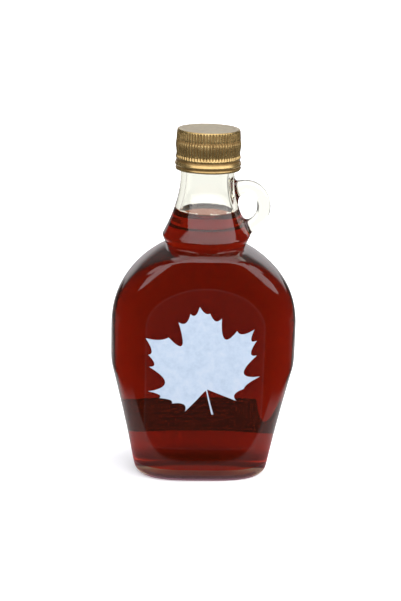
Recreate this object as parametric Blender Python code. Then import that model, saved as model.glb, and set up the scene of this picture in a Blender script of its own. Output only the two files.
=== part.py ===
"""Flat oval syrup flask with a loop handle at its neck, a knurled metal screw cap, syrup up
into the neck, a clear front label and a strip label on its back.  Metres, +Z up, front
towards -Y, handle towards +X.  Origin: centre of the base, on the surface it stands on."""

import math

import bpy
import numpy as np

MM = 0.001

# ---- flask, in millimetres --------------------------------------------------------------
HALF_WIDTH = 44.7          # widest half width, seen from the front
HALF_DEPTH = 22.9          # widest half depth
BASE_HALF_WIDTH = 33.4     # half width where the heel's curve ends
BASE_HALF_DEPTH = 21.0
HEEL_R = 3.5               # rounding between base and side
TAPER_FROM, TAPER_TO = 6.0, 55.9   # heights between which the sides run straight outwards
TAPER_HOLLOW = 0.4         # how far that run bows inwards
CORNER_BLEND = 1.1         # soft corner where the taper meets the upright side
SHOULDER_FROM, SHOULDER_TO = 73.7, 115.2
SHOULDER_POWER = 2.23
FACE_TO, FACE_ROUND = 110.5, 3.8    # the front and back stay upright to here, then turn in sharply
# plan shape |x/a|^p + |y/b|^q = 1: flat faces (high p) and round ends (q near 2)
BASE_POWERS, SIDE_POWERS = (3.4, 2.4), (4.0, 2.0)
SHOULDER_SQUARER = 4.5     # added to p up the shoulder, so that the face stays flat close to its edge
ROUND_FROM, ROUND_TO = 110.0, 115.4    # heights between which the plan turns into the neck's circle

WAIST_R, WAIST_Z = 18.4, 113.4
HIP_R, HIP_Z = 21.0, 118.9
HIP_ROUND = 1.1
NECK_R, NECK_Z = 12.7, 147.4
CONE_POWER = 1.81
WAIST_BLEND = 1.3

BEAD_R, BEAD_FROM, BEAD_TO = 13.7, 153.0, 156.0
FINISH_R, LIP_Z, LIP_ROUND = 13.2, 168.6, 1.1

WALL = 2.9
FLOOR = 5.4                # glass under the syrup
PUSH_UP = 1.6              # hollow under the base
STAND_RING = 3.2           # width of the ring that it stands on
BORE_R = 10.1
HIP_BORE_R = 17.5

# ---- handle -----------------------------------------------------------------------------
LOOP_X, LOOP_Z = 18.7, 133.0           # centre of the loop
LOOP_RX, LOOP_RZ = 8.35, 9.5           # of its centre line
LOOP_HALF, LOOP_HALF_DEPTH = 3.2, 2.5  # half thickness in and across the loop's plane
LOOP_FROM, LOOP_TO = 160.0, -150.0     # degrees, from the neck over the top to the hip
LOOP_FLARE = 3.2                       # how much its outer side spreads at both roots

# ---- syrup, cap and labels --------------------------------------------------------------
GAP = 0.3
SYRUP_GAP = 0.4
SYRUP_Z = 130.7

CAP_BOTTOM, CAP_TOP = 151.0, 169.9
CAP_WALL = 0.9
TEETH, TOOTH = 64, 0.32

LABEL_THICK = 0.3
BACK_LABEL = (-24.0, 26.0, 17.5, 34.8)      # x from, x to, z from, z to
FRONT_LABEL_Z = (18.0, 98.4)
FRONT_LABEL_HALF = 28.0
FRONT_LABEL_ARCH = 20.0                     # height of the arch at its top

SEG = 36                   # corners of a ring of the flask
CAP_SEG = TEETH * 2


def soft_min(a, b, k):
    h = np.clip(0.5 + 0.5 * (b - a) / k, 0.0, 1.0)
    return b * (1 - h) + a * h - k * h * (1 - h)


def soft_max(a, b, k):
    return -soft_min(-a, -b, k)


def body_half_width(z, inset=0.0):
    """Half width at height z of the body without its neck, or of its hollow, inset by the wall."""
    t = np.clip((z - TAPER_FROM) / (TAPER_TO - TAPER_FROM), -0.2, 1.0)
    run = BASE_HALF_WIDTH + (HALF_WIDTH - BASE_HALF_WIDTH) * (z - TAPER_FROM) / (TAPER_TO - TAPER_FROM)
    run = run - TAPER_HOLLOW * 4 * t * (1 - t) * (t > 0)
    low = soft_min(run, HALF_WIDTH + 0 * z, CORNER_BLEND) - inset
    s = np.clip((z - SHOULDER_FROM) / (SHOULDER_TO - inset - SHOULDER_FROM), 0.0, 1.0)
    high = (HALF_WIDTH - inset) * (1 - s**SHOULDER_POWER) ** (1 / SHOULDER_POWER)
    return np.minimum(low, high)


def body_half_depth(z, inset=0.0):
    t = np.clip((z - TAPER_FROM) / (TAPER_TO + 10 - TAPER_FROM), -0.2, 1.0)
    low = BASE_HALF_DEPTH + (HALF_DEPTH - BASE_HALF_DEPTH) * t * (2 - t) - inset
    radius = FACE_ROUND - inset
    s = np.clip((z - FACE_TO) / radius, 0.0, 1.0)
    return low - radius * (1 - np.sqrt(1 - s**2))


def neck_radius(z):
    t = np.clip((z - HIP_Z) / (NECK_Z - HIP_Z), 0.0, 1.0)
    cone = NECK_R + (HIP_R - NECK_R) * (1 - t) ** CONE_POWER
    flare = WAIST_R + (HIP_R - WAIST_R) * (z - WAIST_Z) / (HIP_Z - WAIST_Z)
    return soft_min(cone + 0 * z, flare, HIP_ROUND)


def bore_radius(z):
    """Radius of the hollow in the neck. It widens smoothly and has no ridge at the hip."""
    t = np.clip((z - HIP_Z) / (NECK_Z - HIP_Z), 0.0, 1.0)
    cone = BORE_R + (HIP_BORE_R - BORE_R) * (1 - t) ** CONE_POWER
    waist = WAIST_R - WALL + 0.35 * (z - WAIST_Z + 2.0)
    return soft_min(cone, waist, 2.0)


def plan_powers(z):
    """Powers (p, q) of the plan shape at height z."""
    t = min(max(z / TAPER_TO, 0.0), 1.0)
    k = min(max((z - SHOULDER_FROM) / (ROUND_FROM - SHOULDER_FROM), 0.0), 1.0)
    p = BASE_POWERS[0] + (SIDE_POWERS[0] - BASE_POWERS[0]) * t + SHOULDER_SQUARER * k
    q = BASE_POWERS[1] + (SIDE_POWERS[1] - BASE_POWERS[1]) * t
    f = min(max((z - ROUND_FROM) / (ROUND_TO - ROUND_FROM), 0.0), 1.0)
    f = f * f * (3 - 2 * f)
    return p + (2 - p) * f, q + (2 - q) * f


def ring(half_x, half_y, powers, z, count=SEG):
    """Points of the plan shape, halfway between evenly spread and drawn together at the ends."""
    n = count // 4
    fine = np.linspace(0, 0.5 * math.pi, 181)
    a = 0.25 * math.pi * (1 - np.cos(2 * fine))
    x, y = half_x * np.cos(a) ** (2 / powers[0]), half_y * np.sin(a) ** (2 / powers[1])
    x[-1], y[0] = 0.0, 0.0
    run = np.concatenate([[0], np.cumsum(np.hypot(np.diff(x), np.diff(y)))])
    at = 0.5 * np.linspace(0, run[-1], n + 1) + 0.5 * np.interp(np.linspace(0, 0.5 * math.pi, n + 1), a, run)
    x, y = np.interp(at, run, x), np.interp(at, run, y)
    px = np.concatenate([x[:-1], -x[:0:-1], -x[:-1], x[:0:-1]])
    py = np.concatenate([y[:-1], y[:0:-1], -y[:-1], -y[:0:-1]])
    return np.stack([px, py, np.full(count, float(z))], axis=1)


def shoulder_heights(top, steps):
    """Heights from the start of the shoulder up to top, closer together as the surface flattens."""
    a = np.linspace(0, 1, steps + 1)[1:]
    return SHOULDER_FROM + (top - SHOULDER_FROM) * np.sin(a * math.pi / 2) ** 1.15


def outer_rings():
    rings = []
    base_x, base_y = float(body_half_width(np.array(0.0))), float(body_half_depth(np.array(0.0)))
    # stand ring and the shallow hollow under the base
    inner = HEEL_R + STAND_RING
    for in_by, z in ((inner + 14.0, PUSH_UP + 0.5), (inner + 3.0, PUSH_UP), (inner + 1.0, 0.5 * PUSH_UP), (inner, 0.0)):
        rings.append(ring(base_x - in_by, max(base_y - in_by, 1.5), BASE_POWERS, z))
    for i in range(5):
        a = math.radians(90 * i / 4)
        z = HEEL_R * (1 - math.cos(a))
        side_x, side_y = float(body_half_width(np.array(z))), float(body_half_depth(np.array(z)))
        back = HEEL_R * (1 - math.sin(a))
        rings.append(ring(side_x - back, side_y - back, plan_powers(z), z))
    sides = [10, 25, 42, 51, 55, 58.5, 64]
    shoulder = shoulder_heights(SHOULDER_TO - 0.35, 11)
    for z in [*sides, *shoulder]:
        z = float(z)
        x = float(body_half_width(np.array(z)))
        y = float(body_half_depth(np.array(z)))
        if z > 95:
            r = float(neck_radius(np.array(z)))
            r = max(r, WAIST_R)
            x = float(soft_max(np.array(x), np.array(r), WAIST_BLEND))
            y = float(soft_max(np.array(y), np.array(r), WAIST_BLEND))
        if rings[-1][0][0] < x or abs(rings[-1][0][2] - z) > 0.3:
            rings.append(ring(x, y, plan_powers(z), z))
    neck = [SHOULDER_TO + 0.9, HIP_Z - 0.8, HIP_Z + 0.1, HIP_Z + 1.4, 123, 127, 131.5, 136.5, 142, NECK_Z, 152.2]
    for z in neck:
        r = float(neck_radius(np.array(float(z))))
        rings.append(ring(r, r, (2.0, 2.0), float(z)))
    for r, z in ((BEAD_R, BEAD_FROM), (BEAD_R, BEAD_TO), (FINISH_R, BEAD_TO + 0.7), (FINISH_R, LIP_Z - LIP_ROUND), (FINISH_R - LIP_ROUND, LIP_Z)):
        rings.append(ring(r, r, (2.0, 2.0), z))
    return rings


def hollow_rings(clear=0.0, top=None):
    """Rings of the flask's hollow from its floor upwards, drawn in by clear, up to the height top."""
    floor = FLOOR + clear
    inset = WALL + clear
    rings = []
    heel = 3.0
    for i in range(4):
        a = math.radians(90 * i / 3)
        z = floor + heel * (1 - math.cos(a))
        x = float(body_half_width(np.array(z), inset)) - heel * (1 - math.sin(a))
        y = float(body_half_depth(np.array(z), inset)) - heel * (1 - math.sin(a))
        rings.append(ring(x, y, plan_powers(z), z))
    sides = [25, 42, 51, 56, 62]
    shoulder = shoulder_heights(SHOULDER_TO - inset - 0.4, 8)
    for z in [*sides, *shoulder]:
        z = float(z)
        x = float(body_half_width(np.array(z), inset))
        y = float(body_half_depth(np.array(z), inset))
        if z > 90:
            r = float(bore_radius(np.array(z))) - clear
            x = float(soft_max(np.array(x), np.array(r), 2.0))
            y = float(soft_max(np.array(y), np.array(r), 2.0))
        rings.append(ring(x, y, plan_powers(z), z))
    heights = [116.5, 119.5, 124, SYRUP_Z, 137, NECK_Z, LIP_Z - 1.0]
    for z in heights:
        if top is None or z < top - 0.2:
            r = float(bore_radius(np.array(float(z)))) - clear
            rings.append(ring(r, r, (2.0, 2.0), float(z)))
    if top is not None:
        r = float(bore_radius(np.array(float(top)))) - clear
        rings.append(ring(r, r, (2.0, 2.0), float(top)))
    return rings


def handle_rings(count=12, steps=20):
    rings = []
    for i in range(steps + 1):
        t = i / steps
        a = math.radians(LOOP_FROM + (LOOP_TO - LOOP_FROM) * t)
        c, s = math.cos(a), math.sin(a)
        x, z = LOOP_X + LOOP_RX * c, LOOP_Z + LOOP_RZ * s
        normal = np.array([c / LOOP_RX, 0.0, s / LOOP_RZ])
        normal /= np.linalg.norm(normal)
        root = max(0.0, 1 - t / 0.26) ** 2 + max(0.0, 1 - (1 - t) / 0.3) ** 2
        deep = LOOP_HALF_DEPTH + 0.25 * LOOP_FLARE * root
        b = 2 * math.pi * (np.arange(count) + 0.5) / count
        half = LOOP_HALF + LOOP_FLARE * root * (np.cos(b) > 0)
        u = half * np.sign(np.cos(b)) * np.abs(np.cos(b)) ** 0.62
        v = deep * np.sign(np.sin(b)) * np.abs(np.sin(b)) ** 0.62
        rings.append(np.array([x, 0.0, z]) + u[:, None] * normal + v[:, None] * np.array([0.0, 1.0, 0.0]))
    return rings


def make_mesh(name, rings, smooth_under=40.0):
    """A closed skin through the rings, with a middle point at each end."""
    count = len(rings[0])
    points = [rings[0].mean(axis=0)] + [p for r in rings for p in r] + [rings[-1].mean(axis=0)]
    faces = []
    for j in range(count):
        k = (j + 1) % count
        faces.append((0, 1 + k, 1 + j))
        last = 1 + (len(rings) - 1) * count
        faces.append((last + count, last + j, last + k))
        for i in range(len(rings) - 1):
            a, b = 1 + i * count, 1 + (i + 1) * count
            faces.append((a + j, a + k, b + k, b + j))
    mesh = bpy.data.meshes.new(name)
    mesh.from_pydata([tuple(float(c) * MM for c in p) for p in points], [], faces)
    volume = sum(
        float(np.dot(points[f[0]], np.cross(points[f[i]], points[f[i + 1]])))
        for f in faces
        for i in range(1, len(f) - 1)
    )
    if volume < 0:
        mesh.flip_normals()
    mesh.update()
    mesh.shade_smooth()
    mesh.set_sharp_from_angle(angle=math.radians(smooth_under))
    obj = bpy.data.objects.new(name, mesh)
    bpy.context.scene.collection.objects.link(obj)
    return obj


def paint(obj, colour, roughness, metallic=0.0, transmission=0.0):
    material = bpy.data.materials.new(obj.name)
    material.use_nodes = True
    shader = material.node_tree.nodes["Principled BSDF"]
    shader.inputs["Base Color"].default_value = (*colour, 1.0)
    shader.inputs["Roughness"].default_value = roughness
    shader.inputs["Metallic"].default_value = metallic
    shader.inputs["Transmission Weight"].default_value = transmission
    shader.inputs["IOR"].default_value = 1.5
    obj.data.materials.append(material)


def helper(obj):
    obj.hide_render = True
    obj.display_type = "WIRE"
    return obj


def boolean(obj, other, operation):
    modifier = obj.modifiers.new(operation.title(), "BOOLEAN")
    modifier.operation = operation
    modifier.solver = "EXACT"
    modifier.object = other


def make_flask():
    flask = make_mesh("glass_bottle", outer_rings())
    loop = helper(make_mesh("loop_shape", handle_rings()))
    hollow = hollow_rings()
    hollow.append(ring(BORE_R, BORE_R, (2.0, 2.0), LIP_Z + 2.0))
    cavity = helper(make_mesh("hollow_shape", hollow))
    boolean(flask, loop, "UNION")
    boolean(flask, cavity, "DIFFERENCE")
    paint(flask, (0.88, 0.93, 0.86), 0.02, transmission=1.0)


def make_syrup():
    syrup = make_mesh("syrup", hollow_rings(clear=SYRUP_GAP, top=SYRUP_Z))
    paint(syrup, (0.22, 0.02, 0.01), 0.03, transmission=0.6)


def cap_profile():
    """Radius of the tooth tips, height and how deep the knurl is, down the outside of the cap."""
    return (
        (13.7, CAP_TOP, 0.0),
        (14.7, CAP_TOP - 0.6, 0.3),
        (15.35, 165.4, 1.0),
        (15.1, 164.7, 0.8),
        (15.5, 163.0, 1.0),
        (14.95, 158.4, 1.0),
        (15.45, 157.2, 1.0),
        (15.2, 156.0, 0.3),
        (15.7, 154.3, 0.3),
        (15.35, CAP_BOTTOM, 0.0),
    )


def make_cap():
    a = 2 * math.pi * np.arange(CAP_SEG) / CAP_SEG
    tooth = (np.arange(CAP_SEG) % 2) * TOOTH
    rings = []
    for r, z, knurl in cap_profile():
        radius = r - tooth * knurl
        rings.append(np.stack([radius * np.cos(a), radius * np.sin(a), np.full(CAP_SEG, z)], axis=1))
    inside = BEAD_R + GAP
    for r, z in ((inside, CAP_BOTTOM), (inside, CAP_TOP - CAP_WALL)):
        rings.append(np.stack([r * np.cos(a), r * np.sin(a), np.full(CAP_SEG, z)], axis=1))
    cap = make_mesh("cap", rings, smooth_under=25.0)
    paint(cap, (0.52, 0.37, 0.15), 0.32, metallic=1.0)


def surface_depth(x, z):
    """How far the flask's front or back face lies from the middle plane at x and height z."""
    half_x = float(body_half_width(np.array(z)))
    half_y = float(body_half_depth(np.array(z)))
    p, q = plan_powers(z)
    return half_y * max(0.0, 1 - abs(x / half_x) ** p) ** (1 / q)


def make_label(name, side, across, z_from, z_to, columns, rows, even=True):
    """A thin skin over the front (side -1) or back (side 1) face. across(z) gives its two ends in x."""
    grid = []
    for lift in (GAP, GAP + LABEL_THICK):
        for j in range(rows + 1):
            # rows draw together towards the top, where an arched label narrows
            t = j / rows
            z = z_from + (z_to - z_from) * (t if even else math.sin(0.5 * math.pi * t))
            left, right = across(z)
            for i in range(columns + 1):
                # closer together at the ends, where the face turns more
                spread = 0.5 + 0.5 * math.sin(math.pi * (i / columns - 0.5))
                x = left + (right - left) * spread
                step = 0.05
                y = surface_depth(x, z)
                nx = -(surface_depth(x + step, z) - surface_depth(x - step, z)) / (2 * step)
                nz = -(surface_depth(x, z + step) - surface_depth(x, z - step)) / (2 * step)
                length = math.sqrt(1 + nx * nx + nz * nz)
                grid.append((x + lift * nx / length, side * (y + lift / length), z + lift * nz / length))
    wide, layer = columns + 1, (columns + 1) * (rows + 1)
    faces = []
    for j in range(rows):
        for i in range(columns):
            a = j * wide + i
            faces.append((a, a + 1, a + wide + 1, a + wide))
            faces.append(tuple(layer + n for n in (a + wide, a + wide + 1, a + 1, a)))
    rim = [i for i in range(wide)] + [j * wide + columns for j in range(1, rows + 1)]
    rim += [rows * wide + i for i in range(columns - 1, -1, -1)] + [j * wide for j in range(rows - 1, 0, -1)]
    for n, a in enumerate(rim):
        b = rim[(n + 1) % len(rim)]
        faces.append((b, a, layer + a, layer + b))
    mesh = bpy.data.meshes.new(name)
    mesh.from_pydata([tuple(c * MM for c in p) for p in grid], [], faces)
    volume = sum(
        float(np.dot(grid[f[0]], np.cross(grid[f[i]], grid[f[i + 1]])))
        for f in faces
        for i in range(1, len(f) - 1)
    )
    if volume < 0:
        mesh.flip_normals()
    mesh.update()
    mesh.shade_smooth()
    mesh.set_sharp_from_angle(angle=math.radians(40.0))
    obj = bpy.data.objects.new(name, mesh)
    bpy.context.scene.collection.objects.link(obj)
    return obj


def front_label_ends(z):
    """The clear label: straight foot, sides that follow the flask, and an arched top."""
    foot, head = FRONT_LABEL_Z
    arch_from = head - FRONT_LABEL_ARCH
    side = min(FRONT_LABEL_HALF, float(body_half_width(np.array(z))) - 9.5)
    if z > arch_from:
        t = min((z - arch_from) / (head - arch_from), 0.985)
        side = side * math.sqrt(1 - t * t)
    return -side, side


def make_labels():
    left, right, low, high = BACK_LABEL
    back = make_label("back_label", 1, lambda z: (left, right), low, high, 10, 2)
    paint(back, (0.16, 0.05, 0.04), 0.6)
    foot, head = FRONT_LABEL_Z
    front = make_label("front_label", -1, front_label_ends, foot, head, 10, 10, even=False)
    paint(front, (0.75, 0.8, 0.88), 0.3)


def main():
    for obj in list(bpy.data.objects):
        bpy.data.objects.remove(obj, do_unlink=True)
    make_flask()
    make_syrup()
    make_cap()
    make_labels()


main()
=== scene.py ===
"""Looks of the syrup flask: clear moulded glass with a fused loop handle, dark syrup up into the
neck, a knurled gold-lacquered screw cap, a clear film with a pale leaf print, and a back strip.
Front towards -Y, handle towards +X.  Sizes below are in millimetres."""

import math
import random

import bpy
import numpy as np
from mathutils import Matrix, Vector


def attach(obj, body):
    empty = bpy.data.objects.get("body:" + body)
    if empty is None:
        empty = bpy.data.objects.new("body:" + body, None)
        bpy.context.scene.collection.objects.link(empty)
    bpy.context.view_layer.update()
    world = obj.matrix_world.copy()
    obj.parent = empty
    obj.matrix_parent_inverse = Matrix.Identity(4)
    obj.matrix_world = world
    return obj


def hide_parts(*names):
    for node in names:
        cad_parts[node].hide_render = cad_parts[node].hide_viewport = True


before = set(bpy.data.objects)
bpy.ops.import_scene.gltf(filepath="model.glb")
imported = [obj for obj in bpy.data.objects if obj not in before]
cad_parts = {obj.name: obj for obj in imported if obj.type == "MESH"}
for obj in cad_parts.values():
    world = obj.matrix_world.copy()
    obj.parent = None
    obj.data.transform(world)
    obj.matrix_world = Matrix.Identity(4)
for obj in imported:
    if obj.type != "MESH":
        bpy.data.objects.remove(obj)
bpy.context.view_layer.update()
MM = 0.001

# ---- flask ------------------------------------------------------------------------------
HALF_WIDTH, HALF_DEPTH = 44.7, 22.9
BASE_HALF_WIDTH, BASE_HALF_DEPTH = 33.4, 21.0
HEEL_R = 3.5
TAPER_FROM, TAPER_TO, TAPER_HOLLOW = 6.0, 55.9, 0.4
CORNER_BLEND = 1.1
SHOULDER_FROM, SHOULDER_TO, SHOULDER_POWER = 73.7, 115.2, 2.23
FACE_TO, FACE_ROUND = 110.5, 3.8
# plan shape |x/a|^p + |y/b|^q = 1: flat faces (high p) and round ends (q near 2)
BASE_POWERS, SIDE_POWERS = (3.4, 2.4), (4.0, 2.0)
SHOULDER_SQUARER = 4.5      # added to p up the shoulder, so that the face stays flat close to its edge
ROUND_FROM, ROUND_TO = 110.0, 115.4     # heights between which the plan turns into the neck's circle
WAIST_R, WAIST_Z = 18.4, 113.4
HIP_R, HIP_Z, HIP_ROUND = 21.0, 118.9, 1.1
NECK_R, NECK_Z, CONE_POWER = 12.7, 147.4, 1.81
WAIST_BLEND = 1.3
BEAD_R, BEAD_FROM, BEAD_TO = 13.7, 153.0, 156.0
FINISH_R, LIP_Z, LIP_ROUND = 13.2, 168.6, 1.1
WALL, FLOOR, PUSH_UP, STAND_RING = 2.9, 5.4, 1.6, 3.2
BORE_R, HIP_BORE_R = 10.1, 17.5

LOOP_X, LOOP_Z = 18.7, 133.0
LOOP_RX, LOOP_RZ = 8.35, 9.5
LOOP_HALF, LOOP_HALF_DEPTH = 3.2, 2.5
LOOP_FROM, LOOP_TO = 160.0, -150.0
LOOP_FLARE = 3.2
LOOP_POWER = 3.2            # how square the ring's section is
ROOT_BLEND = 2.4            # how softly the ring runs into the neck

SYRUP_Z = 129.9
INTO_WALL = 0.07            # how far the syrup reaches into the wall
MENISCUS, MENISCUS_RUN = 1.3, 1.0
RIM_WIDTH = 1.9            # the edge of the surface, in from the wall, where a dark reflection is painted
BACK_BAND = 5.0            # how much wider that edge is at the back

CAP_BOTTOM, CAP_TOP, CAP_WALL = 151.0, 169.9, 0.9
TEETH, TOOTH = 64, 0.32

BACK_LABEL = (-24.0, 23.5, 17.5, 34.8)
FRONT_LABEL_Z = (18.0, 98.4)
FRONT_LABEL_HALF, FRONT_LABEL_ARCH = 28.0, 20.0

AROUND = 176


# ---- shape functions --------------------------------------------------------------------
def soft_min(a, b, k):
    h = np.clip(0.5 + 0.5 * (b - a) / k, 0.0, 1.0)
    return b * (1 - h) + a * h - k * h * (1 - h)


def soft_max(a, b, k):
    return -soft_min(-a, -b, k)


def body_half_width(z, inset=0.0):
    z = np.asarray(z, float)
    t = np.clip((z - TAPER_FROM) / (TAPER_TO - TAPER_FROM), -0.2, 1.0)
    run = BASE_HALF_WIDTH + (HALF_WIDTH - BASE_HALF_WIDTH) * (z - TAPER_FROM) / (TAPER_TO - TAPER_FROM)
    run = run - TAPER_HOLLOW * 4 * t * (1 - t) * (t > 0)
    low = soft_min(run, HALF_WIDTH + 0 * z, CORNER_BLEND) - inset
    s = np.clip((z - SHOULDER_FROM) / (SHOULDER_TO - inset - SHOULDER_FROM), 0.0, 1.0)
    high = (HALF_WIDTH - inset) * (1 - s**SHOULDER_POWER) ** (1 / SHOULDER_POWER)
    return np.minimum(low, high)


def body_half_depth(z, inset=0.0):
    z = np.asarray(z, float)
    t = np.clip((z - TAPER_FROM) / (TAPER_TO + 10 - TAPER_FROM), -0.2, 1.0)
    low = BASE_HALF_DEPTH + (HALF_DEPTH - BASE_HALF_DEPTH) * t * (2 - t) - inset
    radius = FACE_ROUND - inset
    s = np.clip((z - FACE_TO) / radius, 0.0, 1.0)
    return low - radius * (1 - np.sqrt(1 - s**2))


def neck_radius(z):
    z = np.asarray(z, float)
    t = np.clip((z - HIP_Z) / (NECK_Z - HIP_Z), 0.0, 1.0)
    cone = NECK_R + (HIP_R - NECK_R) * (1 - t) ** CONE_POWER
    flare = WAIST_R + (HIP_R - WAIST_R) * (z - WAIST_Z) / (HIP_Z - WAIST_Z)
    return soft_min(cone + 0 * z, flare, HIP_ROUND)


def bore_radius(z):
    z = np.asarray(z, float)
    t = np.clip((z - HIP_Z) / (NECK_Z - HIP_Z), 0.0, 1.0)
    cone = BORE_R + (HIP_BORE_R - BORE_R) * (1 - t) ** CONE_POWER
    waist = WAIST_R - WALL + 0.35 * (z - WAIST_Z + 2.0)
    return soft_min(cone, waist, 2.0)


def plan_powers(z):
    """Powers (p, q) of the plan shape at height z."""
    z = np.asarray(z, float)
    t = np.clip(z / TAPER_TO, 0.0, 1.0)
    k = np.clip((z - SHOULDER_FROM) / (ROUND_FROM - SHOULDER_FROM), 0.0, 1.0)
    p = BASE_POWERS[0] + (SIDE_POWERS[0] - BASE_POWERS[0]) * t + SHOULDER_SQUARER * k
    q = BASE_POWERS[1] + (SIDE_POWERS[1] - BASE_POWERS[1]) * t
    f = np.clip((z - ROUND_FROM) / (ROUND_TO - ROUND_FROM), 0.0, 1.0)
    f = f * f * (3 - 2 * f)
    return p + (2 - p) * f, q + (2 - q) * f


def ring(half_x, half_y, powers, z, count=None):
    """Points of the plan's outline, spread evenly along it."""
    count = count or AROUND
    a = np.linspace(0, 0.5 * math.pi, 361)
    # the angle runs slower near both ends, where the powers bunch the points
    a = 0.5 * math.pi * (0.5 - 0.5 * np.cos(2 * a))
    x, y = half_x * np.cos(a) ** (2 / powers[0]), half_y * np.sin(a) ** (2 / powers[1])
    x[-1], y[0] = 0.0, 0.0
    run = np.concatenate([[0], np.cumsum(np.hypot(np.diff(x), np.diff(y)))])
    at = np.linspace(0, run[-1], count // 4 + 1)
    x, y = np.interp(at, run, x), np.interp(at, run, y)
    qx, qy = x[:-1], y[:-1]
    rx, ry = x[::-1][:-1], y[::-1][:-1]
    px = np.concatenate([qx, -rx, -qx, rx])
    py = np.concatenate([qy, ry, -qy, -ry])
    return np.stack([px, py, np.full(len(px), float(z))], axis=1)


def outer_size(z):
    """(half x, half y, power) of the outside at height z, above the heel and below the bead."""
    if z >= SHOULDER_TO + 0.6:
        r = float(neck_radius(z))
        return r, r, (2.0, 2.0)
    x, y = float(body_half_width(z)), float(body_half_depth(z))
    powers = [float(v) for v in plan_powers(z)]
    if z > 95:
        r = max(float(neck_radius(z)), WAIST_R)
        x = float(soft_max(np.array(x), np.array(r), WAIST_BLEND))
        y = float(soft_max(np.array(y), np.array(r), WAIST_BLEND))
    return x, y, powers


def shoulder_heights(top, steps):
    a = np.linspace(0, 1, steps + 1)[1:]
    return SHOULDER_FROM + (top - SHOULDER_FROM) * np.sin(a * math.pi / 2)


def outer_rings(count=None):
    rings = []
    base_x, base_y = float(body_half_width(0.0)), float(body_half_depth(0.0))
    inner = HEEL_R + STAND_RING
    under = [(inner + 13.6, PUSH_UP + 0.5), (inner + 10.0, PUSH_UP + 0.42), (inner + 6.0, PUSH_UP + 0.2), (inner + 3.0, PUSH_UP)]
    for i in range(7):
        a = math.pi * i / 6
        under.append((inner + 2.4 - 2.4 * i / 6, PUSH_UP * (0.5 + 0.5 * math.cos(a))))
    for in_by, z in under:
        rings.append(ring(base_x - in_by, max(base_y - in_by, 1.0), plan_powers(0.0), z, count))
    for i in range(13):
        a = math.radians(90 * i / 12)
        z = HEEL_R * (1 - math.cos(a))
        back = HEEL_R * (1 - math.sin(a))
        rings.append(ring(float(body_half_width(z)) - back, float(body_half_depth(z)) - back, plan_powers(z), z, count))
    heights = list(np.arange(5.0, 50.0, 1.6)) + list(np.arange(50.0, 62.0, 0.5)) + list(np.arange(62.5, SHOULDER_FROM, 1.4))
    heights += list(shoulder_heights(106.5, 34)) + list(np.arange(106.9, 121.0, 0.28)) + list(np.arange(121.3, 152.4, 0.5))
    for z in heights:
        rings.append(ring(*outer_size(z), z, count))
    finish = [(NECK_R + 0.05, 152.6), (NECK_R + 0.35, 152.85)]
    finish += [(BEAD_R - 0.35 + 0.35 * math.sin(math.pi * i / 8), 153.0 + 3.0 * i / 8) for i in range(9)]
    finish += [(FINISH_R, BEAD_TO + 0.4)]
    # one and a half turns' worth of plain ridges stand for the hidden thread
    for i in range(45):
        z = BEAD_TO + 0.6 + (LIP_Z - LIP_ROUND - BEAD_TO - 0.8) * i / 44
        wave = max(0.0, math.sin(2 * math.pi * (z - 157.0) / 3.4)) ** 2
        finish.append((FINISH_R - 0.35 + 0.35 * wave, z))
    finish += [(FINISH_R - LIP_ROUND + LIP_ROUND * math.cos(a), LIP_Z - LIP_ROUND + LIP_ROUND * math.sin(a)) for a in np.linspace(0, math.pi / 2, 7)]
    for r, z in finish:
        rings.append(ring(r, r, (2.0, 2.0), z, count))
    return rings


def bore_size(z, clear):
    inset = WALL + clear
    if z > 113.5:
        r = float(bore_radius(z)) - clear
        return r, r, (2.0, 2.0)
    x, y = float(body_half_width(z, inset)), float(body_half_depth(z, inset))
    powers = [float(v) for v in plan_powers(z)]
    if z > 88:
        r = float(bore_radius(z)) - clear
        x = float(soft_max(np.array(x), np.array(r), 2.0))
        y = float(soft_max(np.array(y), np.array(r), 2.0))
        if z > 107.0:
            t = min((z - 107.0) / 6.5, 1.0)
            powers = [v + (2.0 - v) * t * t * (3 - 2 * t) for v in powers]
    return x, y, powers


def hollow_rings(clear=0.0, top=None, count=None):
    """Rings of the hollow, drawn in by clear (or out, if it is below 0), up to the height top."""
    floor, heel = FLOOR + clear, 3.0
    rings = []
    for in_by in (13.0, 9.0, 6.0, 4.0):
        x, y = float(body_half_width(floor, WALL + clear)), float(body_half_depth(floor, WALL + clear))
        rings.append(ring(x - in_by, y - in_by, plan_powers(0.0), floor + 0.25 * max(0.0, in_by - 3.0) / 10, count))
    for i in range(9):
        a = math.radians(90 * i / 8)
        z = floor + heel * (1 - math.cos(a))
        back = heel * (1 - math.sin(a))
        x, y = float(body_half_width(z, WALL + clear)), float(body_half_depth(z, WALL + clear))
        rings.append(ring(x - back, y - back, plan_powers(z), z, count))
    heights = list(np.arange(10.0, 50.0, 2.0)) + list(np.arange(50.0, 62.0, 0.75)) + list(np.arange(62.5, SHOULDER_FROM, 2.0))
    heights += list(shoulder_heights(104.0, 24)) + list(np.arange(104.6, 124.0, 0.45)) + list(np.arange(124.5, 168.0, 0.7))
    end = LIP_Z - 0.8 if top is None else top
    for z in heights:
        if z < end - 0.2:
            rings.append(ring(*bore_size(z, clear), z, count))
    rings.append(ring(*bore_size(end, clear), end, count))
    return rings


def loop_root(t):
    return max(0.0, 1 - t / 0.26) ** 2 + max(0.0, 1 - (1 - t) / 0.3) ** 2


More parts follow.
